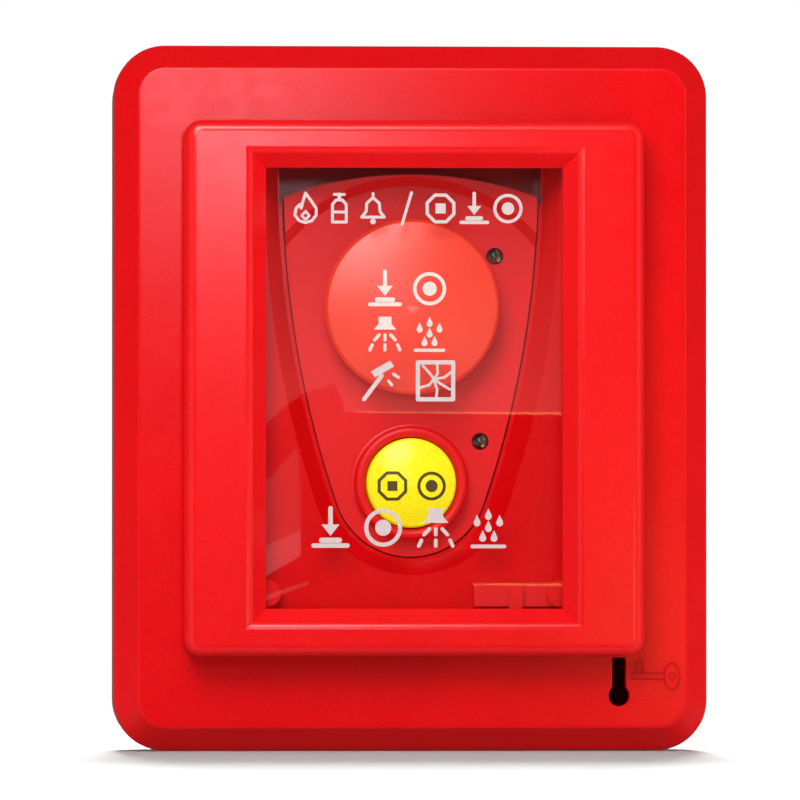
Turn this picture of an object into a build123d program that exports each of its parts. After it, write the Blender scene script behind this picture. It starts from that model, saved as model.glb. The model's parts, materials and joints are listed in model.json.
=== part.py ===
from build123d import *
import math
import os

# Emergency start / stop call point for a gas release system: a wall-mounted red
# casing with a hinged, key-latched window cover over a mushroom start button and
# a recessed stop button.
#
# Units are millimetres.  +Z is up, the front faces -Y and the wall is y = 0.
# Outlines are drawn as seen from the front, with sketch x along +X and sketch y
# along +Z.  "Distance" always means distance from the wall, so y = -distance.

# Casing
CASE_W, CASE_H, CASE_R = 112.0, 133.0, 9.5
WALL = 2.5
SPLIT = 20.0                 # rear rim of the parting line
SEAL_T = 0.8
FACE = 34.0                  # the front face
BEVEL_WIDE, BEVEL_DEEP = 4.4, 5.0
FRONT_ROUND, SHOULDER_ROUND = 0.8, 1.2     # rounding of the bevel's two edges
BACK_INSET = 0.5             # the back box is this much smaller on each side

# Cover
COVER_W, COVER_H, COVER_R = 86.5, 100.7, 3.2
COVER_Z = 1.7                # height of the cover's centre
COVER_BACK, COVER_FRONT = 34.3, 43.0
COVER_WALL = 2.2
COVER_SKIN = 2.4
WINDOW_W, WINDOW_H = 55.8, 82.8
WINDOW_BEVEL = 3.4
COLLAR_W, COLLAR_H = 74.0, 93.0
PANE_W, PANE_H = 62.0, 88.4
PANE_BACK, PANE_FRONT = 37.6, 39.1
RETAINER_BACK, RETAINER_FRONT = 36.2, 37.5

# Cover hinge: one short pin in each top corner
HINGE_Z, HINGE_OUT = 48.8, 37.8
LUG_X = (33.0, 38.0)
LUG_R = 2.6
PIN_R = 1.0
RUNNING = 0.05

# Button recess and the panel at its foot
LEDGE_BACK, LEDGE_FRONT = 25.4, 27.4
PANEL_BACK, PANEL_FRONT = 23.4, 27.2
BROW_FRONT = 28.8
ARCH_Z, ARCH_R = 10.3, 29.7
SHIELD_TURN = 71.0           # the round tip turns this far, then each side bows upwards
SHIELD = (-29.9, 14.6, (24.0, 38.0))    # tip height, tip radius, top corner
FLOOR = (-30.9, 15.6, (25.0, 46.8))
MOUTH = (-33.4, 19.0, (27.6, 47.6))
SHIELD_TOP = 42.3
POCKET_X, POCKET_LOW, POCKET_HIGH, POCKET_FLOOR = 24.8, 36.7, 46.7, 15.3

# Buttons, switches and lamps
START_Z, START_R, START_TRAVEL = 17.2, 16.5, 4.0
STOP_Z, STOP_R, STOP_TRAVEL = -16.0, 8.45, 2.5
STEM_END = 20.6
SWITCH_TOP = 16.5
PLUNGER_R = 2.0
LAMPS = {"led_upper": (16.0, 26.9), "led_lower": (13.2, -8.1)}
LAMP_R = 1.5

# Circuit board
BOARD_BACK, BOARD_FRONT = 6.4, 8.0
BOARD_POSTS = [(22.5, 32.5), (-22.5, 32.5), (22.5, -17.0), (-22.5, -17.0)]
POLES, POLE_PITCH = 8, 5.08
POLE_Z = -26.5

# Fixings
CASE_SCREWS = [(35.4, 36.0), (-35.4, 36.0), (35.4, -29.0), (-35.4, -29.0)]
PANEL_EARS = [(31.0, 18.0), (-31.0, 18.0), (22.6, -22.0), (-22.6, -22.0)]
RETAINER_SCREWS = [(x, COVER_Z + z) for x in (-34.5, 34.5) for z in (-34.0, 0, 34.0)]
WALL_HOLES = [(30.0, 0), (-30.0, 0)]
WALL_HOLE_R = 2.2
ENTRY_Z, ENTRY_R, CABLE_R = -46.0, 8.0, 4.0

# Key latch
KEY_X, KEY_Z, KEY_R, KEY_SLOT = 39.0, -56.1, 2.0, 2.6
KEY_SLOT_TOP = -48.9
LATCH_TRAVEL = 2.6
LATCH_SCREWS = [(28.6, -43.0), (47.8, -43.0)]


def level(distance):
    """Sketch plane facing the viewer at this distance from the wall."""
    return Plane(origin=(0, -distance, 0), x_dir=(1, 0, 0), z_dir=(0, -1, 0))


def slab(outline, low, high):
    """Solid of a front-view outline between two distances from the wall."""
    return extrude(level(low) * outline, amount=high - low)


def rounded(width, height, radius, z=0.0):
    return Pos(0, z) * RectangleRounded(width, height, radius)


def block(x0, x1, z0, z1, low, high):
    centre = Pos((x0 + x1) / 2, (z0 + z1) / 2)
    return slab(centre * Rectangle(x1 - x0, z1 - z0), low, high)


def disc(radius, x, z, low, high):
    return slab(Pos(x, z) * Circle(radius), low, high)


def rod_along_x(radius, x0, x1, distance, z):
    plane = Plane(origin=(x0, -distance, z), x_dir=(0, 1, 0), z_dir=(1, 0, 0))
    return extrude(plane * Circle(radius), amount=x1 - x0)


def turned(profile, x, z):
    """Turn (radius, distance) points about an axis through (x, z) along Y."""
    points = [(x + radius, -distance) for radius, distance in profile]
    section = make_face(Plane.XY * Polyline(*points, close=True))
    section = Pos(0, 0, z) * section
    return revolve(section, Axis((x, 0, z), (0, 1, 0)))


def dome_arc(rim_r, rim_at, crown_at):
    """Arc of a low dome from its rim to its crown, in a turned section."""
    rise = crown_at - rim_at
    sphere_r = (rim_r ** 2 + rise ** 2) / (2 * rise)
    middle_r = rim_r / 2
    middle_at = crown_at - sphere_r + math.sqrt(sphere_r ** 2 - middle_r ** 2)
    return ThreePointArc((rim_r, -rim_at), (middle_r, -middle_at), (0, -crown_at))


def front_edges(solid):
    """Edges of the face nearest the viewer."""
    return solid.faces().sort_by(Axis.Y)[0].edges()


def both_sides(shape):
    return shape + mirror(shape, Plane.YZ)


def group(solids):
    return Compound(children=list(solids))


def shield_face(shape, top_z=None, margin=0.0):
    """Shield outline: a round tip, two bowed sides and a flat or arched top."""
    tip_z, tip_r, (corner_x, corner_z) = shape
    turn = math.radians(SHIELD_TURN)
    centre_z = tip_z + tip_r
    radius = tip_r + margin
    foot_x, foot_z = radius * math.sin(turn), centre_z - radius * math.cos(turn)
    corner_x += margin
    tip = ThreePointArc((-foot_x, foot_z), (0, centre_z - radius), (foot_x, foot_z))
    right = TangentArc((foot_x, foot_z), (corner_x, corner_z),
                       tangent=(math.cos(turn), math.sin(turn)))
    left = mirror(right, Plane.YZ)
    if top_z is None:
        top = Line((corner_x, corner_z), (-corner_x, corner_z))
    else:
        top = ThreePointArc((corner_x, corner_z), (0, top_z), (-corner_x, corner_z))
    return make_face([tip, right, top, left])


def pan_screw(x, z, head_at, head_r, shank_r, tip_at):
    """Cross-headed screw; the head stands off the surface at head_at."""
    outward = 1 if head_at > tip_at else -1
    head_t = head_r * 0.6
    head = disc(head_r, x, z, *sorted((head_at, head_at + outward * head_t)))
    rim = head.faces().sort_by(Axis.Y)[0 if outward > 0 else -1].edges()
    head = fillet(rim, head_t * 0.45)
    top = head_at + outward * head_t
    low, high = sorted((top - outward * head_t * 0.5, top + outward))
    arm = head_r * 0.55
    cross = block(x - arm, x + arm, z - 0.3, z + 0.3, low, high)
    cross += block(x - 0.3, x + 0.3, z - arm, z + arm, low, high)
    shank = disc(shank_r, x, z, *sorted((head_at, tip_at)))
    return head - cross + shank


def back_box():
    width = CASE_W - 2 * BACK_INSET
    height = CASE_H - 2 * BACK_INSET
    radius = CASE_R - BACK_INSET
    box = slab(rounded(width, height, radius), 0, SPLIT)
    box = fillet(box.faces().sort_by(Axis.Y)[-1].edges(), 1.0)
    inside = rounded(width - 2 * WALL, height - 2 * WALL, radius - WALL)
    box -= slab(inside, WALL, SPLIT + 1)
    lip_w, lip_h = CASE_W - 2 * WALL - 0.6, CASE_H - 2 * WALL - 0.6
    lip = slab(rounded(lip_w, lip_h, CASE_R - WALL - 0.3), SPLIT - 3, SPLIT + 3)
    lip -= slab(rounded(lip_w - 3, lip_h - 3, CASE_R - WALL - 1.8), SPLIT - 4, SPLIT + 4)
    box += lip
    for x, z in CASE_SCREWS:
        box += disc(4.0, x, z, WALL - 0.5, SPLIT)
        box -= disc(1.5, x, z, 8, SPLIT + 1)
    for x, z in BOARD_POSTS:
        box += disc(3.2, x, z, WALL - 0.5, BOARD_BACK)
        box -= disc(1.2, x, z, 1.2, BOARD_BACK + 1)
    for x, z in WALL_HOLES:
        box -= disc(WALL_HOLE_R, x, z, -1, WALL + 1)
    box -= disc(ENTRY_R, 0, ENTRY_Z, -1, WALL + 1)
    return box


def case_seal():
    width, height = CASE_W - 2 * BACK_INSET - 0.4, CASE_H - 2 * BACK_INSET - 0.4
    inner_w, inner_h = CASE_W - 2 * WALL - 0.6, CASE_H - 2 * WALL - 0.6
    outer = rounded(width, height, CASE_R - BACK_INSET - 0.2)
    inner = rounded(inner_w, inner_h, CASE_R - WALL - 0.3)
    return slab(outer - inner, SPLIT, SPLIT + SEAL_T)


def cable_grommet():
    ring = disc(ENTRY_R, 0, ENTRY_Z, 0, WALL) + disc(10.0, 0, ENTRY_Z, WALL, WALL + 2)
    ring = fillet(front_edges(ring), 0.7)
    return ring - disc(CABLE_R, 0, ENTRY_Z, -1, 10)


def bevelled_shell(width, height, radius, low, high):
    """Rounded block that narrows to its front face by the wide casing bevel."""
    shoulder = high - BEVEL_DEEP
    front = rounded(width - 2 * BEVEL_WIDE, height - 2 * BEVEL_WIDE, radius - BEVEL_WIDE)
    base = rounded(width, height, radius)
    return slab(base, low, shoulder) + loft([level(shoulder) * base, level(high) * front])


def key_outline():
    """Thin raised outline of a key, beside the keyhole."""
    line = 0.27
    bow = Pos(49.0, -52.4) * (Ellipse(1.55, 2.7) - Ellipse(1.55 - line, 2.7 - line))
    eye = Pos(49.0, -52.4) * (Circle(0.75) - Circle(0.42))
    shaft = Pos(44.4, -52.4) * (Rectangle(6.2, 1.3) - Rectangle(6.2 - 2 * line, 1.3 - 2 * line))
    bit = Pos(42.9, -50.7) * (Rectangle(1.5, 2.2) - Rectangle(1.5 - 2 * line, 2.2 - 2 * line))
    return slab(bow + eye + shaft + bit, FACE - 0.2, FACE + 0.25)


def hinge_lug():
    lug = rod_along_x(LUG_R, *LUG_X, HINGE_OUT, HINGE_Z)
    lug += block(*LUG_X, HINGE_Z - LUG_R, HINGE_Z + LUG_R, FACE - 1, HINGE_OUT)
    return lug - rod_along_x(PIN_R + RUNNING, 30, 40, HINGE_OUT, HINGE_Z)


def front_housing():
    rear = SPLIT + SEAL_T
    body = bevelled_shell(CASE_W, CASE_H, CASE_R, rear, FACE)
    body = fillet(front_edges(body), FRONT_ROUND)
    shoulder = body.edges().filter_by_position(Axis.Y, BEVEL_DEEP - FACE, BEVEL_DEEP - FACE)
    body = fillet(shoulder, SHOULDER_ROUND)
    inside_w, inside_h = CASE_W - 2 * WALL, CASE_H - 2 * WALL
    body -= bevelled_shell(inside_w, inside_h, CASE_R - WALL, rear - 1, FACE - WALL)
    body += slab(shield_face(MOUTH, margin=2.2), LEDGE_BACK, FACE - 1)
    body -= loft([level(FACE) * shield_face(MOUTH), level(LEDGE_FRONT) * shield_face(FLOOR)])
    body -= slab(shield_face(SHIELD, SHIELD_TOP, 0.3), LEDGE_BACK - 1, LEDGE_FRONT + 1)
    # The deep pocket above the panel's arched top.
    px = POCKET_X
    wall = 2.0
    body += block(-px - wall, px + wall, POCKET_LOW - wall, POCKET_HIGH + wall,
                  POCKET_FLOOR - wall, LEDGE_BACK + 0.2)
    body -= block(-px, px, POCKET_LOW, POCKET_HIGH, POCKET_FLOOR, LEDGE_FRONT + 1)
    body -= block(-px, px, POCKET_LOW - wall - 1, POCKET_LOW + 1, LEDGE_BACK - 0.2, LEDGE_BACK + 0.3)
    for x, z in CASE_SCREWS:
        body += disc(4.0, x, z, SPLIT + 0.2, FACE - 1)
        body -= disc(1.5, x, z, SPLIT, FACE + 1)
        body -= disc(3.3, x, z, FACE - 2.4, FACE + 1)
    for x, z in PANEL_EARS:
        body += disc(2.8, x, z, LEDGE_BACK, FACE - 1)
        body -= disc(1.1, x, z, LEDGE_BACK - 1, LEDGE_BACK + 5)
    for x, z in LATCH_SCREWS:
        body += disc(2.4, x, z, 26.0, FACE - 1)
        body -= disc(1.0, x, z, 25.0, 31.0)
    body += both_sides(hinge_lug())
    # Keyhole with a short sleeve behind it, and the slot for the latch's neck.
    body += block(KEY_X - 4, KEY_X + 4, KEY_Z - 4.2, KEY_SLOT_TOP + 2, 29.6, FACE - 1)
    body -= disc(KEY_R, KEY_X, KEY_Z, 20, FACE + 1)
    slot = RectangleRounded(KEY_SLOT, KEY_SLOT_TOP - KEY_Z, 0.5)
    body -= slab(Pos(KEY_X, (KEY_SLOT_TOP + KEY_Z) / 2) * slot, 20, FACE + 1)
    body -= block(34.4, 41.0, -42.6, -35.4, 28, FACE + 1)
    return body + key_outline()


def button_panel():
    front = slab(shield_face(SHIELD, SHIELD_TOP), LEDGE_BACK, PANEL_FRONT)
    flange = slab(shield_face(SHIELD, SHIELD_TOP, 2.4), PANEL_BACK, LEDGE_BACK)
    flange -= block(-40, 40, 34, 50, 20, 30)
    panel = front + flange
    for x, z in PANEL_EARS:
        inner = x * 0.5
        panel += block(min(x, inner), max(x, inner), z - 2.8, z + 2.8, PANEL_BACK, LEDGE_BACK)
        panel += disc(2.8, x, z, PANEL_BACK, LEDGE_BACK)
        panel -= disc(1.1, x, z, PANEL_BACK - 1, LEDGE_BACK + 1)
    brow = slab(shield_face(SHIELD, SHIELD_TOP), PANEL_FRONT - 0.1, BROW_FRONT)
    hollow = turned([(0, PANEL_FRONT - 0.2), (ARCH_R - 0.12, PANEL_FRONT - 0.2),
                     (ARCH_R + 2.0, BROW_FRONT + 0.1), (0, BROW_FRONT + 0.1)], 0, ARCH_Z)
    brow -= hollow
    brow -= block(-40, 40, -40, ARCH_Z + 12, 20, 40)
    panel += brow
    panel -= disc(8.0, 0, START_Z, 20, 30)
    panel -= disc(9.6, 0, STOP_Z, 20, 30)
    for x, z in LAMPS.values():
        panel -= disc(LAMP_R + 0.1, x, z, 20, 30)
        panel -= disc(2.0, x, z, 20, PANEL_BACK + 1.0)
    return panel


def start_bush():
    sleeve = disc(8.0, 0, START_Z, 19.6, PANEL_FRONT) + disc(10.0, 0, START_Z, PANEL_FRONT, 28.4)
    return sleeve - disc(5.5 + 0.08, 0, START_Z, 15, 30)


def start_nut():
    nut = slab(Pos(0, START_Z) * RegularPolygon(11.0, 6), PANEL_BACK - 3, PANEL_BACK)
    return nut - disc(8.0, 0, START_Z, 15, 30)


def start_button():
    """Mushroom cap: low dome, rounded rim, hollow underside, solid stem."""
    crown, rim_top, rim_bottom = 36.0, 34.1, 31.6
    section = Plane.XY * make_face([
        Line((0, -STEM_END), (5.5, -STEM_END)),
        Line((5.5, -STEM_END), (5.5, -33.7)),
        Line((5.5, -33.7), (14.3, -33.7)),
        Line((14.3, -33.7), (14.3, -rim_bottom)),
        Line((14.3, -rim_bottom), (START_R - 0.5, -rim_bottom)),
        ThreePointArc((START_R - 0.5, -rim_bottom), (START_R, -32.4), (START_R - 0.6, -rim_top)),
        dome_arc(START_R - 0.6, rim_top, crown),
        Line((0, -crown), (0, -STEM_END)),
    ])
    return revolve(Pos(0, 0, START_Z) * section, Axis((0, 0, START_Z), (0, 1, 0)))


def stop_collar():
    """Sleeve with a floor; its rounded ring stands on the panel."""
    ring_r = 10.75
    profile = [
        Line((STOP_R + 0.3, -23.0), (STOP_R + 0.3, -30.0)),
        ThreePointArc((STOP_R + 0.3, -30.0), (9.7, -30.75), (ring_r, -29.6)),
        Line((ring_r, -29.6), (ring_r, -27.7)),
        Line((ring_r, -27.7), (11.1, -27.6)),
        Line((11.1, -27.6), (11.1, -PANEL_FRONT)),
        Line((11.1, -PANEL_FRONT), (9.6, -PANEL_FRONT)),
        Line((9.6, -PANEL_FRONT), (9.6, -21.4)),
        Line((9.6, -21.4), (3.08, -21.4)),
        Line((3.08, -21.4), (3.08, -23.0)),
        Line((3.08, -23.0), (STOP_R + 0.3, -23.0)),
    ]
    section = make_face(profile)
    return revolve(Pos(0, 0, STOP_Z) * section, Axis((0, 0, STOP_Z), (0, 1, 0)))


def stop_nut():
    ring = disc(12.4, 0, STOP_Z, PANEL_BACK - 1.8, PANEL_BACK)
    return ring - disc(9.6, 0, STOP_Z, 15, 30)


def stop_button():
    crown, edge = 32.9, 31.3
    section = make_face([
        Line((0, -STEM_END), (3.0, -STEM_END)),
        Line((3.0, -STEM_END), (3.0, -29.5)),
        Line((3.0, -29.5), (6.4, -29.5)),
        Line((6.4, -29.5), (6.4, -26.2)),
        Line((6.4, -26.2), (STOP_R, -26.2)),
        Line((STOP_R, -26.2), (STOP_R, -30.6)),
        ThreePointArc((STOP_R, -30.6), (STOP_R - 0.22, -31.05), (STOP_R - 0.75, -edge)),
        dome_arc(STOP_R - 0.75, edge, crown),
        Line((0, -crown), (0, -STEM_END)),
    ])
    return revolve(Pos(0, 0, STOP_Z) * section, Axis((0, 0, STOP_Z), (0, 1, 0)))


def coil(low, high, radius_low, radius_high, wire_r, turns, z):
    """Spring along Y between two distances; conical if the radii differ."""
    height = high - low - 2 * wire_r
    angle = math.degrees(math.atan2(radius_high - radius_low, height))
    centre = (0, -low - wire_r, z)
    path = Helix(pitch=height / turns, height=height, radius=radius_low, center=centre,
                 direction=(0, -1, 0), cone_angle=angle)
    wire = Plane(origin=path @ 0, z_dir=path % 0) * Circle(wire_r)
    return sweep(wire, path=path, is_frenet=True)


def switch_body(z, half_x, half_z):
    body = block(-half_x, half_x, z - half_z, z + half_z, BOARD_FRONT, SWITCH_TOP)
    body = fillet(body.edges().filter_by(Axis.Y), 0.8)
    body += block(-half_x + 2, half_x - 2, z - half_z - 0.8, z + half_z + 0.8, BOARD_FRONT, 12)
    return body - disc(PLUNGER_R + RUNNING, 0, z, 8.8, 20)


def plunger(z):
    pin = disc(PLUNGER_R, 0, z, 13.0, STEM_END - 0.1)
    return fillet(front_edges(pin), 0.4)


def lamp(x, z):
    """3 mm lamp: dome at the panel's surface, flange behind the panel."""
    body = disc(LAMP_R, x, z, 22.6, 26.0)
    body += disc(1.9, x, z, 22.6, 23.4)
    dome = level(26.0) * Pos(x, z) * Sphere(LAMP_R)
    return body + (dome - block(x - 3, x + 3, z - 3, z + 3, 20, 26.0))


def lamp_spacers():
    tubes = []
    for x, z in LAMPS.values():
        tubes.append(disc(2.3, x, z, BOARD_FRONT, 22.6) - disc(1.7, x, z, 0, 30))
    return group(tubes)


def lamp_leads():
    wires = []
    for x, z in LAMPS.values():
        for side in (-0.64, 0.64):
            wires.append(disc(0.25, x + side, z, BOARD_FRONT, 22.6))
    return group(wires)


def circuit_board():
    board = slab(rounded(52, 70, 1.5, 1.5), BOARD_BACK, BOARD_FRONT)
    for x, z in BOARD_POSTS:
        board -= disc(1.5, x, z, 0, 20)
    return board


def relay():
    body = block(-24, -10, -11, 8, BOARD_FRONT, 18)
    return fillet(body.edges().filter_by(Axis.Y) + front_edges(body), 0.6)


def capacitors():
    cans = []
    for z in (17.0, 27.0):
        can = disc(4.0, -14.5, z, BOARD_FRONT, 18.5)
        can = fillet(front_edges(can), 0.7)
        cans.append(can - disc(2.9, -14.5, z, 18.2, 19))
    return group(cans)


def board_chip():
    body = block(12, 21, 5, 14, BOARD_FRONT, 9.6)
    body -= disc(0.5, 13.4, 12.6, 9.3, 10)
    for step in range(6):
        z = 6.25 + step * 1.3
        body += block(11, 22, z - 0.25, z + 0.25, BOARD_FRONT, 8.3)
    return body


def pole_x(index):
    return (index - (POLES - 1) / 2) * POLE_PITCH


def terminal_block():
    half = POLES * POLE_PITCH / 2 + 0.6
    body = block(-half, half, POLE_Z - 4.2, POLE_Z + 4.2, BOARD_FRONT, 18)
    body = chamfer(body.faces().sort_by(Axis.Y)[0].edges().sort_by(Axis.Z)[0], 2.0)
    for index in range(POLES):
        x = pole_x(index)
        body -= disc(1.8, x, POLE_Z + 0.6, 11, 20)
        body -= block(x - 1.7, x + 1.7, POLE_Z - 6, POLE_Z - 1, 9.5, 13.2)
    return body


def terminal_screws():
    screws = []
    for index in range(POLES):
        x = pole_x(index)
        screw = disc(1.7, x, POLE_Z + 0.6, 13.4, 16.6)
        screws.append(screw - block(x - 2, x + 2, POLE_Z + 0.3, POLE_Z + 0.9, 15.8, 18))
    return group(screws)


def latch_slide():
    """Sliding bolt: bar and finger under the cover, fork behind the keyhole."""
    bar = block(11.5, 40.5, -39.3, -35.3, 34.4, 36.0)
    bar += block(18.0, 20.6, -39.3, -35.3, 35.0, 37.2)
    bar += block(18.0, 20.6, -45.6, -38.0, 36.0, 37.2)
    bar += block(37.5, 40.5, -42.0, -36.0, 29.0, 35.0)
    fork = block(34.5, 44.5, -54.5, -36.0, 26.2, 29.2)
    fork -= block(KEY_X - 2.4, KEY_X + 2.4, -56.0, -47.5, 25, 30)
    return bar + fork


def latch_retainer():
    plate = block(25.8, 50.6, -46.0, -40.0, 24.4, 26.0)
    plate = fillet(plate.edges().filter_by(Axis.Y), 2.0)
    for x, z in LATCH_SCREWS:
        plate -= disc(1.0, x, z, 20, 30)
    return plate


def window_cut(half, plane):
    """Endless slot whose sides flare to a softly rounded rim; two of them cross."""
    sill, slope_end = 39.75, 42.45
    flare = WINDOW_BEVEL - 0.8
    rim = half + WINDOW_BEVEL + 0.5
    side = [
        Line((0, PANE_FRONT - 1), (half, PANE_FRONT - 1)),
        Line((half, PANE_FRONT - 1), (half, sill)),
        Line((half, sill), (half + flare, slope_end)),
        TangentArc((half + flare, slope_end), (rim, COVER_FRONT), tangent=(1, 1.04)),
        Line((rim, COVER_FRONT), (rim, COVER_FRONT + 1)),
        Line((rim, COVER_FRONT + 1), (0, COVER_FRONT + 1)),
        Line((0, COVER_FRONT + 1), (0, PANE_FRONT - 1)),
    ]
    face = make_face(side)
    return extrude(plane * (face + mirror(face, Plane.YZ)), amount=70, both=True)


def cover_knuckle(x0, x1):
    knuckle = rod_along_x(2.8, x0, x1, HINGE_OUT, HINGE_Z)
    knuckle += block(x0, x1, HINGE_Z - 2.8, HINGE_Z + 2.8, HINGE_OUT, COVER_FRONT - 2)
    return knuckle


def cover_frame():
    outline = rounded(COVER_W, COVER_H, COVER_R, COVER_Z)
    frame = slab(outline, COVER_BACK, COVER_FRONT)
    frame = fillet(front_edges(frame), 2.2)
    hollow = rounded(COVER_W - 2 * COVER_WALL, COVER_H - 2 * COVER_WALL, 1.2, COVER_Z)
    frame -= slab(hollow, COVER_BACK - 1, COVER_FRONT - COVER_SKIN)
    frame += slab(rounded(COLLAR_W, COLLAR_H, 2.0, COVER_Z), RETAINER_FRONT, COVER_FRONT - 2)
    place = Pos(0, COVER_Z)
    frame -= slab(place * Rectangle(PANE_W + 0.4, PANE_H + 0.4), RETAINER_FRONT - 1, PANE_FRONT)
    # The window's bevel, mitred at its corners.
    across = Plane(origin=(0, 0, COVER_Z), x_dir=(1, 0, 0), z_dir=(0, 0, -1))
    upright = Plane(origin=(0, 0, COVER_Z), x_dir=(0, 0, 1), z_dir=(1, 0, 0))
    frame -= window_cut(WINDOW_W / 2, across) & window_cut(WINDOW_H / 2, upright)
    # Round the top rear edge about the hinge so that it clears the casing.
    edge_r = 3.2
    edge_z, edge_out = COVER_Z + COVER_H / 2 - edge_r, COVER_BACK + edge_r
    corner = block(-50, 50, edge_z, edge_z + 5, COVER_BACK - 1, edge_out)
    frame -= corner - rod_along_x(edge_r, -50, 50, edge_out, edge_z)
    # Hinge: slots for the casing's lugs, knuckles beside them, bores for the pins.
    inner_knuckle = cover_knuckle(29.6, LUG_X[0] - 0.4)
    outer_knuckle = cover_knuckle(LUG_X[1] + 0.4, COVER_W / 2 - COVER_WALL + 0.2)
    frame += both_sides(inner_knuckle + outer_knuckle)
    slot = block(LUG_X[0] - 0.4, LUG_X[1] + 0.4, HINGE_Z - 3.2, HINGE_Z + 5, COVER_BACK - 1, 41.0)
    bore = rod_along_x(PIN_R, 29.0, COVER_W / 2 - COVER_WALL + 0.4, HINGE_OUT, HINGE_Z)
    frame -= both_sides(slot + bore)
    # Catch for the latch on the bottom wall.
    floor_z = COVER_Z - COVER_H / 2 + COVER_WALL - 0.3
    frame += block(12.0, 15.0, floor_z, -43.2, 34.6, COVER_FRONT - 2)
    frame += block(15.0, 17.4, floor_z, -43.2, 34.6, 35.6)
    for x, z in RETAINER_SCREWS:
        frame -= disc(0.9, x, z, RETAINER_FRONT - 1, 40.6)
    return frame


def hinge_pins():
    right = rod_along_x(PIN_R, 29.6, COVER_W / 2 - COVER_WALL + 0.4, HINGE_OUT, HINGE_Z)
    return group([right, mirror(right, Plane.YZ)])


def break_pane():
    return slab(Pos(0, COVER_Z) * Rectangle(PANE_W, PANE_H), PANE_BACK, PANE_FRONT)


def pane_retainer():
    place = Pos(0, COVER_Z)
    outer = rounded(COLLAR_W - 1, COLLAR_H - 1, 2.0, COVER_Z)
    opening = place * Rectangle(WINDOW_W + 1.8, WINDOW_H + 1.8)
    ring = slab(outer - opening, RETAINER_BACK, RETAINER_FRONT)
    for x in (-27.6, 27.6):
        ring += disc(2.6, x, -36.8, RETAINER_BACK, RETAINER_FRONT)
    ring -= block(11.2, 21.4, -48, -40.0, RETAINER_BACK - 1, RETAINER_FRONT + 1)
    ring -= both_sides(block(29.2, 40.0, HINGE_Z - 3.2, HINGE_Z + 5, 30, 40))
    for x, z in RETAINER_SCREWS:
        ring -= disc(0.9, x, z, 30, 40)
    return ring


def write(name, shape):
    """Write one node's STEP file into parts/."""
    solids = shape.solids()
    whole = solids[0] if len(solids) == 1 else Compound(children=list(solids))
    export_step(whole, os.path.join("parts", name + ".step"))
    print(f"{name:18s} {len(solids)} solid(s)  {sum(s.volume for s in solids):10.1f} mm3")


def main():
    os.makedirs("parts", exist_ok=True)
    write("back_box", back_box())
    write("case_seal", case_seal())
    write("cable_grommet", cable_grommet())
    write("front_housing", front_housing())
    write("button_panel", button_panel())
    write("start_bush", start_bush())
    write("start_nut", start_nut())
    write("start_button", start_button())
    write("start_spring", coil(28.5, 33.6, 9.2, 6.6, 0.35, 3.0, START_Z))
    write("stop_collar", stop_collar())
    write("stop_nut", stop_nut())
    write("stop_button", stop_button())
    write("stop_spring", coil(23.1, 29.4, 4.6, 4.6, 0.35, 4.0, STOP_Z))
    write("start_switch", switch_body(START_Z, 7.0, 9.0))
    write("stop_switch", switch_body(STOP_Z, 6.0, 5.0))
    write("start_plunger", plunger(START_Z))
    write("stop_plunger", plunger(STOP_Z))
    for name, (x, z) in LAMPS.items():
        write(name, lamp(x, z))
    write("led_spacers", lamp_spacers())
    write("led_leads", lamp_leads())
    write("circuit_board", circuit_board())
    write("relay", relay())
    write("capacitors", capacitors())
    write("board_chip", board_chip())
    write("terminal_block", terminal_block())
    write("terminal_screws", terminal_screws())
    write("latch_slide", latch_slide())
    write("latch_retainer", latch_retainer())
    write("cover_frame", cover_frame())
    write("hinge_pins", hinge_pins())
    write("break_pane", break_pane())
    write("pane_retainer", pane_retainer())
    case_screws = [pan_screw(x, z, FACE - 2.4, 2.9, 1.5, 12.0) for x, z in CASE_SCREWS]
    write("case_screws", group(case_screws))
    panel_screws = [pan_screw(x, z, PANEL_BACK, 2.3, 1.1, 29.5) for x, z in PANEL_EARS]
    write("panel_screws", group(panel_screws))
    board_screws = [pan_screw(x, z, BOARD_FRONT, 2.4, 1.2, 2.0) for x, z in BOARD_POSTS]
    write("board_screws", group(board_screws))
    latch_screws = [pan_screw(x, z, 24.4, 2.1, 1.0, 30.0) for x, z in LATCH_SCREWS]
    write("latch_screws", group(latch_screws))
    pane_screws = [pan_screw(x, z, RETAINER_BACK, 1.9, 0.9, 40.0) for x, z in RETAINER_SCREWS]
    write("retainer_screws", group(pane_screws))


main()
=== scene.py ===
# Looks of the emergency start / stop call point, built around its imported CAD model.
#
# Everything is in metres in the CAD frame: +Z up, the front faces -Y, the wall is y = 0.
import json
import math

import bpy
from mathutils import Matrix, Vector
from mathutils.geometry import delaunay_2d_cdt


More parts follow.
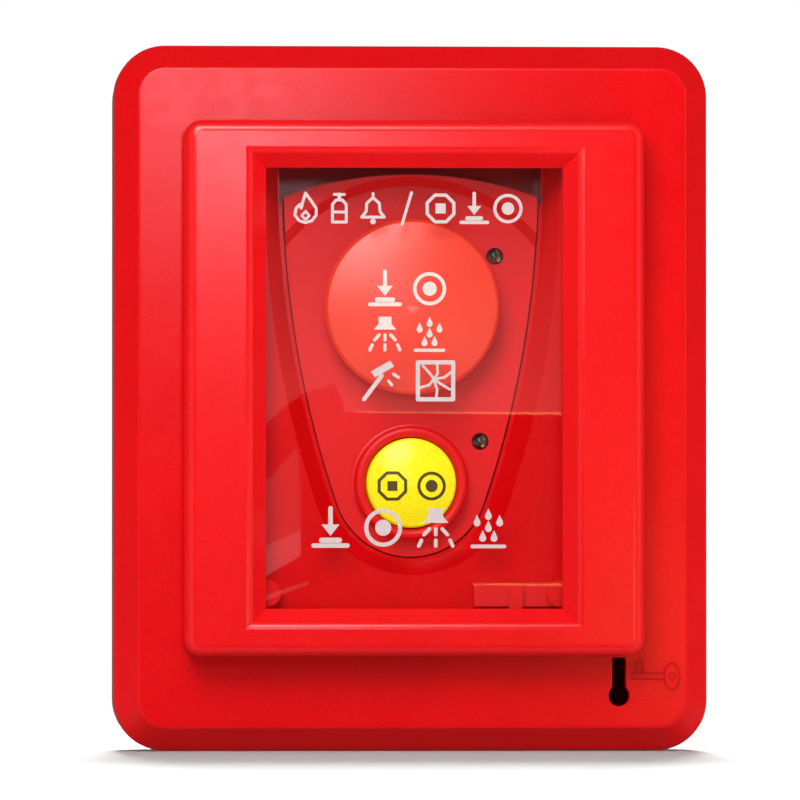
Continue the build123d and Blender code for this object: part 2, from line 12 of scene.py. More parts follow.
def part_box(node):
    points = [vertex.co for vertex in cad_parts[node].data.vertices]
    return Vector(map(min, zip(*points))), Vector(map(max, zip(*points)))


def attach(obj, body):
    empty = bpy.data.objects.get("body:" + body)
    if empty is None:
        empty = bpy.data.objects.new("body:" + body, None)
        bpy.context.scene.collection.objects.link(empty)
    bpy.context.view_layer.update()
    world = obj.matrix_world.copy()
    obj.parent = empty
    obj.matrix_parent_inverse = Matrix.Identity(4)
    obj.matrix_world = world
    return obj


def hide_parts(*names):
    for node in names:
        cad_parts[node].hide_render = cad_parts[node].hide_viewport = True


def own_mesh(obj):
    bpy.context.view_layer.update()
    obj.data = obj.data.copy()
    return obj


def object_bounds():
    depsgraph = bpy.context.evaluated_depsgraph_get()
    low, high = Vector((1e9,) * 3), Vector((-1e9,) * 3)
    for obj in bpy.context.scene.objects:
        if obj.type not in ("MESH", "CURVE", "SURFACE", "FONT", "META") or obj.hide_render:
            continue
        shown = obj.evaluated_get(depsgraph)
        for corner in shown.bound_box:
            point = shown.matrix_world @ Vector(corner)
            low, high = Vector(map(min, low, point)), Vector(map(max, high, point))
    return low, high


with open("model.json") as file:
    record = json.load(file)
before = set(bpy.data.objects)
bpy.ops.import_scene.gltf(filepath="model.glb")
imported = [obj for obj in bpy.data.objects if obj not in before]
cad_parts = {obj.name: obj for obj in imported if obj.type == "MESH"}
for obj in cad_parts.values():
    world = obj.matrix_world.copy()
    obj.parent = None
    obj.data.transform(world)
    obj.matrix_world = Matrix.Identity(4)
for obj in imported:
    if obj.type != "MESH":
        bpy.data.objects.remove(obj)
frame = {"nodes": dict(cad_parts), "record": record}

CAD_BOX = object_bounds()
NODES = frame["nodes"]
MM = 0.001

# Camera: long lens, almost square to the front, a little from the left and below.
CAMERA_AZIMUTH, CAMERA_ELEVATION = -3.5, -1.0
CAMERA_DISTANCE = 2.0
SENSOR_WIDTH = 36.0
FRAME_WIDTH = 0.1516          # width of the picture at the casing
AIM = (-0.0016, -0.0002)      # aim off the casing's centre: right, up

# Soft light from the room by direction: 0 is straight out in front, 1 is straight behind.
WORLD_RING = [(0.0, 0.0), (0.04, 0.01), (0.10, 0.46), (0.30, 0.46), (0.42, 0.14), (0.7, 0.12)]
CARD_DISTANCE = 0.9           # the cards that mirror in the pane stand this far from the wall

# Painted light: the two buttons glow a little in their own colour, making up for light that the
# pane and the recess hold back.
YELLOW_PAINTED_GLOW, RED_PAINTED_GLOW = 0.17, 0.07

# Printed signs reach this far out of, and into, the surface that carries them.
PRINT_PROUD, PRINT_SUNK = 0.05 * MM, 0.04 * MM
KEY_MARK_AT = (49.5 * MM, -51.9 * MM)   # the middle of the bow is half a millimetre left and down
KEY_MARK_FRONT = 34.25 * MM             # distance of the raised key mark's face from the wall

# Outlines turned into a lamp's inner parts: radius, and distance from its foot, in mm.
LAMP_CUP = [(0.42, 0.0), (0.42, 1.0), (0.62, 1.0), (0.62, 1.55), (0.52, 1.55), (0.24, 1.2),
            (0.05, 1.18)]
LAMP_POST = [(0.2, 0.0), (0.2, 1.45), (0.12, 1.6), (0.02, 1.6)]
LAMP_FOOT = 0.3 * MM          # the inner parts start this far inside the lamp's rear face

SPRING_WIRE = 0.35 * MM       # radius of the wire
FLAT_TURNS = 0.75             # closed turns at each end of a spring
STEPS_PER_TURN = 32

# Moulded plastics: colour, darker drift of it, roughness, grain size and grain depth in mm,
# and for some the specular level and the painted glow.
PLASTICS = {
    "casing_red": ((0.79, 0.0018, 0.0045), (0.74, 0.0012, 0.0035), 0.20, 0.30, 0.008, 0.35),
    "cover_red": ((0.87, 0.0035, 0.0060), (0.83, 0.0025, 0.0050), 0.19, 0.26, 0.007, 0.6),
    # panel_red is paler than casing_red; part of that is painted light, making up for light that
    # the pane and the deep recess hold back.
    "panel_red": ((0.86, 0.004, 0.008), (0.83, 0.003, 0.006), 0.38, 0.22, 0.010, 0.4),
    "button_red": ((0.97, 0.050, 0.018), (0.94, 0.042, 0.015), 0.33, 0.25, 0.006, 0.8, RED_PAINTED_GLOW),
    "button_yellow": ((1.0, 0.93, 0.010), (0.98, 0.90, 0.008), 0.24, 0.6, 0.004, 0.35,
                      YELLOW_PAINTED_GLOW),
    "black_plastic": ((0.016, 0.016, 0.018), (0.010, 0.010, 0.011), 0.42, 0.25, 0.012),
    "grey_rubber": ((0.040, 0.040, 0.043), (0.028, 0.028, 0.030), 0.72, 0.35, 0.02),
    "terminal_green": ((0.03, 0.27, 0.08), (0.02, 0.22, 0.07), 0.45, 0.3, 0.012),
    "switch_grey": ((0.26, 0.27, 0.29), (0.22, 0.23, 0.25), 0.48, 0.3, 0.012),
    "relay_blue": ((0.02, 0.10, 0.38), (0.016, 0.08, 0.32), 0.30, 0.4, 0.008),
    "can_black": ((0.022, 0.022, 0.05), (0.016, 0.016, 0.04), 0.26, 0.5, 0.006),
}


# ---------------------------------------------------------------- materials

class Graph:
    """The node tree of a material or of the world."""

    def __init__(self, owner):
        owner.use_nodes = True
        self.tree = owner.node_tree

    def add(self, kind, **settings):
        node = self.tree.nodes.new(kind)
        for key, value in settings.items():
            setattr(node, key, value)
        return node

    def link(self, source, target):
        self.tree.links.new(source, target)

    def spread(self, value, low, high, out_low, out_high):
        """Carry a value from one range over to another."""
        ranged = self.add("ShaderNodeMapRange")
        for socket, number in zip(("From Min", "From Max", "To Min", "To Max"),
                                  (low, high, out_low, out_high)):
            ranged.inputs[socket].default_value = number
        self.link(value, ranged.inputs["Value"])
        return ranged.outputs["Result"]


class Shade(Graph):
    """One procedural material: a Principled shader and the nodes that drive it."""

    def __init__(self, name, colour, roughness, **sockets):
        self.material = bpy.data.materials.new(name)
        super().__init__(self.material)
        self.shader = self.tree.nodes["Principled BSDF"]
        self.colour = (*colour, 1.0)
        self.shader.inputs["Base Color"].default_value = self.colour
        self.shader.inputs["Roughness"].default_value = roughness
        for socket, value in sockets.items():
            self.shader.inputs[socket.replace("_", " ")].default_value = value
        self.place = self.add("ShaderNodeTexCoord").outputs["Object"]
        self.height = None

    def noise(self, size, detail=2.0, stretch=(1, 1, 1)):
        """Noise whose features are about this size, in metres."""
        scaled = self.add("ShaderNodeMapping")
        scaled.inputs["Scale"].default_value = stretch
        self.link(self.place, scaled.inputs["Vector"])
        texture = self.add("ShaderNodeTexNoise")
        texture.inputs["Scale"].default_value = 1 / size
        texture.inputs["Detail"].default_value = detail
        self.link(scaled.outputs["Vector"], texture.inputs["Vector"])
        return texture.outputs["Fac"]

    def mottle(self, value, other, low=0.35, high=0.65):
        """Drift from the base colour to another where the value is high."""
        mix = self.add("ShaderNodeMix", data_type="RGBA")
        source = self.shader.inputs["Base Color"]
        if source.is_linked:
            self.link(source.links[0].from_socket, mix.inputs["A"])
        else:
            mix.inputs["A"].default_value = self.colour
        mix.inputs["B"].default_value = (*other, 1.0)
        self.link(self.spread(value, low, high, 0, 1), mix.inputs["Factor"])
        self.link(mix.outputs["Result"], source)

    def gloss(self, value, low, high):
        """Roughness that runs between two values."""
        self.link(self.spread(value, 0.3, 0.7, low, high), self.shader.inputs["Roughness"])

    def relief(self, value, depth, strength=1.0):
        """Bump of this depth in metres; several are laid on each other."""
        bump = self.add("ShaderNodeBump")
        bump.inputs["Distance"].default_value = depth
        bump.inputs["Strength"].default_value = strength
        self.link(value, bump.inputs["Height"])
        if self.height:
            self.link(self.height, bump.inputs["Normal"])
        self.height = bump.outputs["Normal"]
        self.link(self.height, self.shader.inputs["Normal"])


def darker(colour, share):
    return tuple(share * value for value in colour)


def moulded(name, colour, deep, roughness, grain, depth, specular=0.5, glow=0.0):
    """Moulded plastic: fine grain, slight flow mottling and sink marks, varying sheen; a glow,
    where given, is painted light.
    """
    shade = Shade(name, colour, roughness, IOR=1.47, Specular_IOR_Level=specular,
                  Emission_Color=(*colour, 1.0), Emission_Strength=glow)
    shade.mottle(shade.noise(14 * MM, detail=3), deep)
    shade.mottle(shade.noise(grain * MM), darker(deep, 0.86), low=0.45, high=0.75)
    shade.gloss(shade.noise(2.5 * MM, detail=3), roughness - 0.012, roughness + 0.025)
    shade.relief(shade.noise(9 * MM, detail=1), 2 * depth * MM, strength=0.35)
    shade.relief(shade.noise(grain * MM, detail=3), depth * MM)
    return shade.material


def metal(name, colour, roughness, grain, stretch=(1, 1, 1)):
    """Plain metal with a fine grain, which can run along one way."""
    shade = Shade(name, colour, roughness, Metallic=1.0)
    shade.mottle(shade.noise(1.2 * MM, detail=3), darker(colour, 0.8))
    shade.gloss(shade.noise(grain, stretch=stretch), roughness * 0.8, roughness * 1.3)
    shade.relief(shade.noise(grain, stretch=stretch), 0.01 * MM)
    return shade.material


def circuit_laminate(name):
    """Solder mask over copper tracks, which show as paler raised lines."""
    shade = Shade(name, (0.012, 0.13, 0.045), 0.28, IOR=1.5)
    tracks = shade.add("ShaderNodeTexWave", wave_type="BANDS", bands_direction="X")
    tracks.inputs["Scale"].default_value = 110
    tracks.inputs["Distortion"].default_value = 2.5
    tracks.inputs["Detail Scale"].default_value = 0.6
    shade.link(shade.place, tracks.inputs["Vector"])
    lines = tracks.outputs["Fac"]
    edge, crest = 0.7, 0.78
    shade.mottle(lines, (0.03, 0.24, 0.09), edge, crest)
    shade.relief(shade.spread(lines, edge, crest, 0, 1), 0.035 * MM)
    return shade.material


def see_through(graph, colour):
    """Plain shader that lets light straight through, in this colour."""
    shader = graph.add("ShaderNodeBsdfTransparent")
    shader.inputs["Color"].default_value = (*colour, 1.0)
    return shader.outputs["BSDF"]


def mix_surface(graph, share, first, second):
    """Give the material the first shader where the share is 0 and the second where it is 1."""
    mix = graph.add("ShaderNodeMixShader")
    for source, socket in zip((share, first, second), mix.inputs):
        graph.link(source, socket)
    graph.link(mix.outputs["Shader"], graph.tree.nodes["Material Output"].inputs["Surface"])


def thin_clear(name, tint, ior, haze):
    """Clear plastic thin enough not to bend what is behind it: it mirrors and lets through."""
    material = bpy.data.materials.new(name)
    graph = Graph(material)
    graph.tree.nodes.remove(graph.tree.nodes["Principled BSDF"])
    mirror = graph.add("ShaderNodeBsdfGlossy")
    mirror.inputs["Roughness"].default_value = haze
    # The rear face must mirror as the front one does, so its index is turned over.
    rear = graph.add("ShaderNodeNewGeometry").outputs["Backfacing"]
    edge = graph.add("ShaderNodeFresnel")
    graph.link(graph.spread(rear, 0, 1, ior, 1 / ior), edge.inputs["IOR"])
    mix_surface(graph, edge.outputs["Fac"], see_through(graph, tint), mirror.outputs["BSDF"])
    return material


def lens_epoxy(name):
    """Clear lamp lens, tinted brown as painted shade for the dark inside of an unlit lamp: it bends
    what is inside it, and lets the lamps' light in.
    """
    shade = Shade(name, (0.22, 0.14, 0.08), 0.03, Transmission_Weight=1.0, IOR=1.5)
    shadow = shade.add("ShaderNodeLightPath").outputs["Is Shadow Ray"]
    mix_surface(shade, shadow, shade.shader.outputs["BSDF"], see_through(shade, (0.45, 0.42, 0.36)))
    return shade.material


def ink(name, colour, specular=0.5):
    """Screen-printed ink: matt, a little uneven; also drawn as painted shade lines."""
    shade = Shade(name, colour, 0.5, Specular_IOR_Level=specular)
    shade.mottle(shade.noise(0.5 * MM, detail=3), darker(colour, 0.86), low=0.4, high=0.8)
    shade.relief(shade.noise(0.2 * MM), 0.01 * MM)
    return shade.material


def make_materials():
    materials = {name: moulded(name, *look) for name, look in PLASTICS.items()}
    materials["clear_pane"] = thin_clear("clear_pane", (0.99, 0.99, 0.99), 1.40, 0.01)
    materials["lamp_lens"] = lens_epoxy("lamp_lens")
    materials["board_green"] = circuit_laminate("board_green")
    materials["zinc_steel"] = metal("zinc_steel", (0.60, 0.61, 0.64), 0.30, 0.3 * MM)
    materials["spring_steel"] = metal("spring_steel", (0.52, 0.52, 0.54), 0.22, 0.15 * MM,
                                      (1, 5, 1))
    return materials


def dress_nodes(materials):
    """Give each CAD node the material that the record names for it."""
    for part in frame["record"]["subparts"]:
        mesh = NODES[part["node"]].data
        mesh.materials.clear()
        mesh.materials.append(materials[part["material_slot"]])


# ---------------------------------------------------------------- meshes

def piece_from(name, verts, faces, material, smooth_angle=None):
    """New object; smooth_angle in degrees leaves the edges sharper than that as they are."""
    mesh = bpy.data.meshes.new(name)
    mesh.from_pydata(verts, [], faces)
    mesh.validate()
    mesh.materials.append(material)
    if smooth_angle is not None:
        mesh.shade_smooth()
        mesh.set_sharp_from_angle(angle=math.radians(smooth_angle))
    piece = bpy.data.objects.new(name, mesh)
    bpy.context.scene.collection.objects.link(piece)
    return piece


def circle(sides):
    """Cosine and sine of evenly spaced angles."""
    angles = [2 * math.pi * step / sides for step in range(sides)]
    return [(math.cos(angle), math.sin(angle)) for angle in angles]


def ring_faces(rings, sides):
    """Faces that join rings of verts to a closed body with two flat ends."""
    faces = []
    for ring in range(rings - 1):
        a, b = ring * sides, (ring + 1) * sides
        for step in range(sides):
            after = (step + 1) % sides
            faces.append((a + step, a + after, b + after, b + step))
    faces.append(tuple(range(sides))[::-1])
    faces.append(tuple(range((rings - 1) * sides, rings * sides)))
    return faces


def turned_mesh(profile, x, z, sides):
    """Verts and faces of (radius, distance) points turned about a Y axis at (x, z)."""
    verts = [(x + radius * across, -distance, z + radius * up)
             for radius, distance in profile for across, up in circle(sides)]
    return verts, ring_faces(len(profile), sides)


def tube(path, radius, sides=12):
    """Verts and faces of a round tube along points."""
    verts = []
    points = [Vector(p) for p in path]
    side = None
    for index, point in enumerate(points):
        before = points[max(index - 1, 0)]
        after = points[min(index + 1, len(points) - 1)]
        along = (after - before).normalized()
        if side is None:
            side = along.orthogonal().normalized()
        side = (side - along * side.dot(along)).normalized()
        other = along.cross(side)
        verts += [point + radius * (cos * side + sin * other) for cos, sin in circle(sides)]
    return verts, ring_faces(len(points), sides)


def middle_of(low, high):
    """X and Z of the middle of a box."""
    return (low.x + high.x) / 2, (low.z + high.z) / 2


# ---------------------------------------------------------------- springs and lamps

def add_spring(name, start_radius, end_radius, turns, material):
    """Coil that stands for a CAD spring."""
    wire = SPRING_WIRE
    low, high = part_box(name)
    centre_x, centre_z = middle_of(low, high)
    fixed, free = high.y - wire, low.y + wire
    steps = int(turns * STEPS_PER_TURN)
    path = []
    for step in range(steps + 1):
        share = step / steps
        rise = (share * turns - FLAT_TURNS) / (turns - 2 * FLAT_TURNS)
        rise = min(max(rise, 0), 1)
        radius = start_radius + (end_radius - start_radius) * share
        angle = 2 * math.pi * turns * share
        path.append((centre_x + radius * math.cos(angle), fixed + (free - fixed) * rise,
                     centre_z + radius * math.sin(angle)))
    verts, faces = tube(path, wire)
    piece = piece_from(name + "_coil", verts, faces, material, 50)
    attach(piece, "casing")
    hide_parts(name)
    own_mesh(piece)


def add_lamp_core(node, material):
    """Reflector cup and post inside a lamp."""
    low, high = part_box(node)
    x, z = middle_of(low, high)
    base = -high.y + LAMP_FOOT
    for suffix, outline, aside, sides in (("_cup", LAMP_CUP, -0.25 * MM, 24),
                                          ("_post", LAMP_POST, 0.75 * MM, 16)):
        profile = [(radius * MM, base + distance * MM) for radius, distance in outline]
        verts, faces = turned_mesh(profile, x + aside, z, sides)
        piece = piece_from(node + suffix, verts, faces, material, 40)
        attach(piece, "casing")


# ---------------------------------------------------------------- printed signs

class Sign:
    """A flat pictogram: strokes and filled shapes, mostly in a cell one unit wide and high."""

    def __init__(self):
        self.shapes = []

    def line(self, *points, width=0.1):
        """A stroke with round ends through the points."""
        for start, end in zip(points, points[1:]):
            dx, dy = end[0] - start[0], end[1] - start[1]
            length = math.hypot(dx, dy)
            nx, ny = -dy / length * width / 2, dx / length * width / 2
            # Cut into short lengths, so that the print follows a domed surface.
            cuts = max(1, round(length / 0.2))
            spine = [(start[0] + dx * i / cuts, start[1] + dy * i / cuts)
                     for i in range(cuts + 1)]
            left = [(x + nx, y + ny) for x, y in spine]
            right = [(x - nx, y - ny) for x, y in spine]
            self.fill(*right, *left[::-1])
        for point in points:
            self.dot(*point, width / 2)
        return self

    def loop(self, *points, width=0.1):
        return self.line(*points, points[0], width=width)

    def dot(self, x, y, radius, sides=14):
        return self.fill(*[(x + radius * cos, y + radius * sin) for cos, sin in circle(sides)])

    def ring(self, x, y, radius, width=0.1, sides=28):
        points = [(x + radius * cos, y + radius * sin) for cos, sin in circle(sides)]
        return self.loop(*points, width=width)

    def fill(self, *points):
        self.shapes.append(list(points))
        return self


def press_sign():
    """An arrow down on to a push button."""
    sign = Sign().line((0.5, 0.98), (0.5, 0.5), width=0.11)
    sign.fill((0.28, 0.58), (0.5, 0.30), (0.72, 0.58))
    sign.line((0.08, 0.06), (0.92, 0.06), width=0.11)
    return sign.line((0.28, 0.19), (0.72, 0.19), width=0.13)


def target_sign():
    """A round push button seen from the front."""
    return Sign().ring(0.5, 0.5, 0.42, width=0.1).dot(0.5, 0.5, 0.2, 24)


def nozzle_sign():
    """A nozzle that sprays downwards."""
    sign = Sign().fill((0.32, 0.98), (0.32, 0.78), (0.18, 0.62), (0.82, 0.62), (0.68, 0.78),
                       (0.68, 0.98))
    for top, foot in ((0.34, 0.08), (0.5, 0.5), (0.66, 0.92)):
        middle = (top + foot) / 2
        sign.line((top, 0.47), (middle, 0.33), width=0.09)
        sign.line(((middle + foot) / 2, 0.19), (foot, 0.05), width=0.09)
    return sign


def drops_sign():
    """Falling drops over a floor."""
    sign = Sign()
    for x, y in ((0.22, 0.62), (0.5, 0.78), (0.78, 0.62), (0.36, 0.24), (0.64, 0.24), (0.5, 0.48)):
        sign.dot(x, y, 0.085, 16)
        sign.fill((x - 0.075, y + 0.04), (x + 0.075, y + 0.04), (x, y + 0.2))
    return sign.line((0.1, 0.04), (0.9, 0.04), width=0.09)


def flame_sign():
    """A flame inside a flame."""
    sign = Sign().loop((0.5, 0.98), (0.66, 0.76), (0.84, 0.5), (0.84, 0.28), (0.7, 0.1),
                       (0.5, 0.04), (0.3, 0.1), (0.16, 0.28), (0.2, 0.5), (0.32, 0.62),
                       (0.36, 0.5), (0.42, 0.72), width=0.09)
    return sign.loop((0.5, 0.4), (0.62, 0.26), (0.5, 0.14), (0.38, 0.26), width=0.08)


def cylinder_sign():
    """A gas cylinder with its valve."""
    sign = Sign().loop((0.28, 0.06), (0.72, 0.06), (0.72, 0.62), (0.6, 0.76), (0.4, 0.76),
                       (0.28, 0.62), width=0.09)
    sign.line((0.5, 0.78), (0.5, 0.94), width=0.12)
    sign.line((0.34, 0.94), (0.66, 0.94), width=0.09)
    return sign.line((0.34, 0.38), (0.66, 0.38), width=0.09)


def slash_sign():
    """A stroke between two groups of signs."""
    return Sign().line((0.35, 0.0), (0.65, 1.0), width=0.09)


def stop_sign():
    """An octagon round a square."""
    corners = [(0.5 + 0.46 * math.cos(math.radians(22.5 + 45 * i)),
                0.5 + 0.46 * math.sin(math.radians(22.5 + 45 * i))) for i in range(8)]
    sign = Sign().loop(*corners, width=0.1)
    return sign.fill((0.34, 0.34), (0.66, 0.34), (0.66, 0.66), (0.34, 0.66))


def bell_sign():
    """An alarm bell with its clapper."""
    sign = Sign().loop((0.14, 0.22), (0.86, 0.22), (0.72, 0.4), (0.7, 0.66), (0.5, 0.84),
                       (0.3, 0.66), (0.28, 0.4), width=0.09)
    sign.line((0.5, 0.84), (0.5, 0.97), width=0.09)
    return sign.dot(0.5, 0.08, 0.09, 16)


def hammer_sign():
    """A hammer, swung to the right."""
    sign = Sign().line((0.14, 0.06), (0.56, 0.62), width=0.1)
    sign.fill((0.30, 0.72), (0.40, 0.58), (0.86, 0.84), (0.76, 0.98))
    sign.line((0.84, 0.66), (0.96, 0.58), width=0.07)
    return sign.line((0.72, 0.5), (0.8, 0.4), width=0.07)


def cracked_pane_sign():
    """A square pane with a star of cracks."""
    sign = Sign().loop((0.08, 0.06), (0.92, 0.06), (0.92, 0.94), (0.08, 0.94), width=0.1)
    hub = (0.46, 0.54)
    for end in ((0.2, 0.86), (0.54, 0.88), (0.86, 0.7), (0.84, 0.3), (0.52, 0.12), (0.14, 0.34)):
        bend = ((hub[0] + end[0]) / 2 + 0.05, (hub[1] + end[1]) / 2 - 0.04)
        sign.line(hub, bend, end, width=0.06)
    return sign


def pane_surface(x, z):
    """The pane's flat front."""
    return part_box("break_pane")[0].y


def dome_surface(node, rim_radius, rise):
    """Front of a button's low dome, as a function of x and z, and the x and z of its middle."""
    low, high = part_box(node)
    centre_x, centre_z = middle_of(low, high)
    sphere = (rim_radius ** 2 + rise ** 2) / (2 * rise)

    def surface(x, z):
        out = (x - centre_x) ** 2 + (z - centre_z) ** 2
        return low.y + sphere - math.sqrt(sphere ** 2 - out)

    return surface, centre_x, centre_z


def print_row(name, signs, centre, pitch, height, surface, body, material):
    """One row of signs printed on a surface, as one thin closed mesh.

    The surface is a function of x and z; the height is that of a sign's unit cell.
    """
    points, loops = [], []
    for index, make in enumerate(signs):
        x0 = centre[0] + (index - (len(signs) - 1) / 2) * pitch - height / 2
        z0 = centre[1] - height / 2
        for shape in make().shapes:
            loops.append(list(range(len(points), len(points) + len(shape))))
            points += [Vector((x0 + x * height, z0 + y * height)) for x, y in shape]
    inside_only, merge_distance = 1, 1e-7
    flat, _, cells, _, _, sources = delaunay_2d_cdt(points, [], loops, inside_only,
                                                    merge_distance)
    triangles = [cell for cell, source in zip(cells, sources) if source]
    count = len(flat)
    verts = [(p.x, surface(p.x, p.y) - PRINT_PROUD, p.y) for p in flat]
    verts += [(p.x, surface(p.x, p.y) + PRINT_SUNK, p.y) for p in flat]
    faces, edges = [], {}
    for a, b, c in triangles:
        faces.append((a, b, c))
        faces.append((a + count, c + count, b + count))
        for start, end in ((a, b), (b, c), (c, a)):
            edges[(start, end)] = True
    for start, end in edges:
        if (end, start) not in edges:
            faces.append((end, start, start + count, end + count))
    piece = piece_from(name, verts, faces, material)
    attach(piece, body)
    return piece


def key_sign():
    """Outline of a key lying flat, in millimetres from the middle of its bow."""
    thin = 0.26
    sign = Sign()
    sign.loop(*[(1.42 * cos, 2.57 * sin) for cos, sin in circle(32)], width=thin)
    sign.ring(0, 0, 0.6, width=thin)
    sign.loop((-7.6, -0.55), (-1.5, -0.55), (-1.5, 0.55), (-7.6, 0.55), width=thin)
    return sign.loop((-6.7, 0.7), (-5.5, 0.7), (-5.5, 2.7), (-6.7, 2.7), width=thin)


def add_prints():
    # The key mark's dark red lines are painted shade: they stand in for the shading along the edges
    # of the raised key mark.
    painted_shade_red = ink("key_mark_painted_shade", (0.55, 0.002, 0.003), 0.1)
    print_row("key_mark", [key_sign], KEY_MARK_AT, 0, 1 * MM,
              lambda x, z: -KEY_MARK_FRONT, "casing", painted_shade_red)
    white = ink("pane_ink", (0.66, 0.56, 0.56))
    cream = ink("start_ink", (0.94, 0.82, 0.76))
    olive = ink("stop_ink", (0.10, 0.065, 0.008))
    print_row("pane_title", [flame_sign, cylinder_sign, bell_sign, slash_sign, stop_sign,
                             press_sign, target_sign],
              (-1.4 * MM, 35.5 * MM), 6.35 * MM, 5.9 * MM, pane_surface, "cover", white)
    print_row("pane_break_sign", [hammer_sign, cracked_pane_sign], (-1.3 * MM, 3.1 * MM), 10.6 * MM,
              7.9 * MM, pane_surface, "cover", white)
    print_row("pane_foot", [press_sign, target_sign, nozzle_sign, drops_sign],
              (-0.9 * MM, -24.5 * MM), 9.9 * MM, 7.6 * MM, pane_surface, "cover", white)
    surface, x, z = dome_surface("start_button", 15.9 * MM, 1.9 * MM)
    x -= 1.1 * MM
    print_row("start_print_upper", [press_sign, target_sign], (x, z + 3.3 * MM), 8.4 * MM,
              6.7 * MM, surface, "start_button", cream)
    print_row("start_print_lower", [nozzle_sign, drops_sign], (x, z - 5.2 * MM), 8.4 * MM,
              6.7 * MM, surface, "start_button", cream)
    surface, x, z = dome_surface("stop_button", 7.7 * MM, 1.6 * MM)
    print_row("stop_print", [stop_sign, target_sign], (x, z - 0.6 * MM), 7.4 * MM,
              5.8 * MM, surface, "stop_button", olive)


# ---------------------------------------------------------------- stage

def add_floor():
    """Pale floor; the tall lamp behind the casing lights only the floor."""
    level = CAD_BOX[0].z - 0.1 * MM
    side, near, far = 0.8, -1.2, 0.35
    verts = [(-side, near, level), (side, near, level), (side, far, level), (-side, far, level)]
    shade = Shade("floor_white", (0.34, 0.34, 0.34), 0.9, Emission_Color=(1, 1, 1, 1),
                  Emission_Strength=0.05)
    shade.mottle(shade.noise(0.15, 2), (0.33, 0.33, 0.33))
    floor = piece_from("floor", verts, [(0, 1, 2, 3)], shade.material)
    floor.visible_glossy = False
    lamp = add_softbox("floor_lamp", (0.05, 0.80, 0.50), (0, -0.1, level), (0.30, 0.75), 72.0)
    lit = bpy.data.collections.new("lit_by_floor_lamp")
    lit.objects.link(floor)
    lamp.light_linking.receiver_collection = lit


def add_card(name, outline, colour, bottom, top):
    """Glowing shape beside the camera that mirrors in the pane at this outline (in mm).

    Its strength runs from one value at the pane's foot to another at its top.
    """
    camera = bpy.context.scene.camera.location
    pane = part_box("break_pane")
    spread = 1 + (CARD_DISTANCE + pane[0].y) / (pane[0].y - camera.y)
    verts = []
    for x, z in outline:
        verts.append((camera.x + (x * MM - camera.x) * spread, -CARD_DISTANCE,
                      camera.z + (z * MM - camera.z) * spread))
    shade = Shade(name, (0, 0, 0), 1.0, Emission_Color=(*colour, 1.0))
    height = shade.add("ShaderNodeSeparateXYZ")
    shade.link(shade.place, height.inputs[0])
    foot = camera.z + (pane[0].z - camera.z) * spread
    head = camera.z + (pane[1].z - camera.z) * spread
    glow = shade.spread(height.outputs["Z"], foot, head, bottom, top)
    shade.link(glow, shade.shader.inputs["Emission Strength"])
    card = piece_from(name, verts, [tuple(range(len(verts)))], shade.material)
    card.visible_camera = card.visible_diffuse = card.visible_shadow = False


def add_cards():
    """Pale things in the room that the pane mirrors."""
    add_card("card_wall", [(-28.5, 45), (-28.5, -5.5), (-23.2, -0.9), (-20.2, 1.0), (-16.4, 2.1),
                           (-15, 2.9), (-13.2, -1.3), (-13.2, -2.8), (28.5, -3.1), (28.5, 45)],
             (1.0, 0.86, 0.80), 1.15, 0.04)
    add_card("card_edge", [(-11, -2.85), (28.5, -3.2), (28.5, -2.8), (-11, -2.65)],
             (1.0, 0.50, 0.2), 7.0, 7.0)
    add_card("card_edge_low", [(11, -35.2), (28.5, -35.4), (28.5, -35.0), (11, -35.0)],
             (1.0, 0.50, 0.2), 7.0, 7.0)
    add_card("card_chair", [(-28.5, -16.5), (-22, -9.4), (-21.5, -13.6), (-21.3, -24.9),
                            (-28.5, -28.2)], (1.0, 0.85, 0.8), 0.45, 0.45)
    add_card("card_sheet", [(-28.5, -28.2), (-21.3, -24.9), (-21.3, -29.8), (-28.5, -34)],
             (1.0, 0.92, 0.95), 1.1, 1.1)
    add_card("card_rail", [(-28.5, -37.4), (-19.8, -34.5), (-19.8, -35.1), (-28.5, -38.4)],
             (1.0, 0.8, 0.75), 0.8, 0.8)


def add_softbox(name, place, target, size, radiance, colour=(1, 1, 1)):
    """Rectangular area light at a place, facing a target, with this radiance."""
    width, height = size
    data = bpy.data.lights.new(name, "AREA")
    data.shape = "RECTANGLE"
    data.size, data.size_y = width, height
    data.energy = radiance * math.pi * width * height
    data.color = colour
    light = bpy.data.objects.new(name, data)
    light.location = place
    light.rotation_mode = "QUATERNION"
    light.rotation_quaternion = (Vector(target) - Vector(place)).to_track_quat("-Z", "Y")
    light.visible_camera = False
    bpy.context.scene.collection.objects.link(light)
    return light


def add_lights():
    """Small soft lamps on the left and above, a faint one on the right, a warm one low down."""
    add_softbox("sheen_lamp", (-0.015, -0.55, 0.087), (0, 0, 0.02), (0.045, 0.04), 19.0,
                (0.96, 0.88, 1.0))
    add_softbox("key_softbox", (-0.17, -0.55, 0.19), (0, 0, 0.0), (0.19, 0.19), 4.8)
    add_softbox("high_softbox", (-0.14, -0.58, 0.42), (0, 0, 0), (0.35, 0.30), 8.4)
    side = add_softbox("side_softbox", (0.55, -0.20, 0.05), (0, 0, 0), (0.30, 0.30), 2.4)
    side.visible_glossy = False
    add_softbox("warm_kicker", (0.15, -0.50, -0.047), (0.03, 0, -0.02), (0.10, 0.032), 10.0,
                (1.0, 0.42, 0.18))


def grey_ramp(graph, value, stops):
    """Grey level along a value from 0 to 1, through (value, level) stops."""
    made = graph.add("ShaderNodeValToRGB")
    made.color_ramp.interpolation = "EASE"
    for index, (place, level) in enumerate(stops):
        if index > 1:
            made.color_ramp.elements.new(place)
        element = made.color_ramp.elements[index]
        element.position = place
        element.color = (level, level, level, 1)
    graph.link(value, made.inputs["Fac"])
    return made.outputs["Color"]


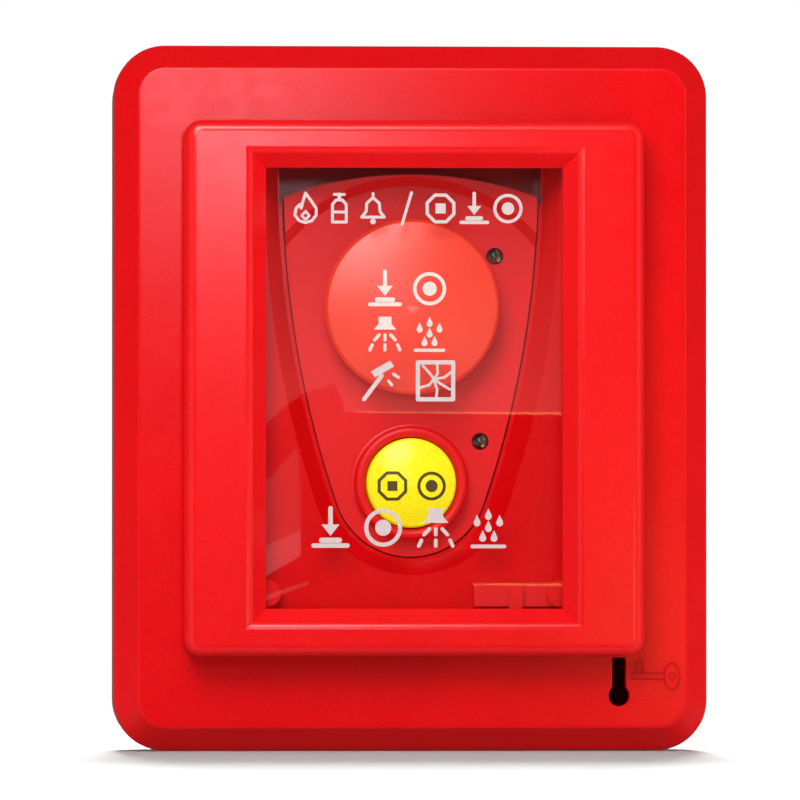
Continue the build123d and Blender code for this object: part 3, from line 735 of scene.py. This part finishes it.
def add_world():
    """White behind the object; a dark gap round the lens inside a ring of soft light."""
    world = bpy.data.worlds.new("studio")
    bpy.context.scene.world = world
    graph = Graph(world)
    background = graph.tree.nodes["Background"]
    background.inputs["Color"].default_value = (1, 1, 1, 1)

    split = graph.add("ShaderNodeSeparateXYZ")
    graph.link(graph.add("ShaderNodeTexCoord").outputs["Generated"], split.inputs[0])
    forward = graph.spread(split.outputs["Y"], -1, 1, 0, 1)
    below = graph.spread(split.outputs["Z"], -0.5, 0.2, 0.7, 1.0)
    light = graph.add("ShaderNodeMath", operation="MULTIPLY")
    graph.link(grey_ramp(graph, forward, WORLD_RING), light.inputs[0])
    graph.link(below, light.inputs[1])
    seen = graph.add("ShaderNodeMix", data_type="FLOAT")
    graph.link(graph.add("ShaderNodeLightPath").outputs["Is Camera Ray"], seen.inputs["Factor"])
    graph.link(light.outputs[0], seen.inputs["A"])
    seen.inputs["B"].default_value = 1.0
    graph.link(seen.outputs["Result"], background.inputs["Strength"])


def add_camera():
    low, high = CAD_BOX
    middle = (low + high) / 2
    azimuth, elevation = math.radians(CAMERA_AZIMUTH), math.radians(CAMERA_ELEVATION)
    back = Vector((math.sin(azimuth) * math.cos(elevation),
                   -math.cos(azimuth) * math.cos(elevation), math.sin(elevation)))
    right = Vector((math.cos(azimuth), math.sin(azimuth), 0))
    target = middle + right * AIM[0] + Vector((0, 0, AIM[1]))
    data = bpy.data.cameras.new("camera")
    data.sensor_width = SENSOR_WIDTH
    data.lens = SENSOR_WIDTH * CAMERA_DISTANCE / FRAME_WIDTH
    data.clip_start, data.clip_end = 0.01, 50
    camera = bpy.data.objects.new("camera", data)
    camera.location = target + back * CAMERA_DISTANCE
    camera.rotation_mode = "QUATERNION"
    camera.rotation_quaternion = (-back).to_track_quat("-Z", "Y")
    bpy.context.scene.collection.objects.link(camera)
    bpy.context.scene.camera = camera


def main():
    scene = bpy.context.scene
    scene.view_settings.view_transform = "Standard"
    materials = make_materials()
    dress_nodes(materials)
    add_spring("start_spring", 9.2 * MM, 6.6 * MM, turns=3.5,
               material=materials["spring_steel"])
    add_spring("stop_spring", 4.6 * MM, 4.6 * MM, turns=5.0,
               material=materials["spring_steel"])
    for node in ("led_upper", "led_lower"):
        add_lamp_core(node, materials["zinc_steel"])
    add_prints()
    add_floor()
    add_camera()
    add_lights()
    add_cards()
    add_world()


main()
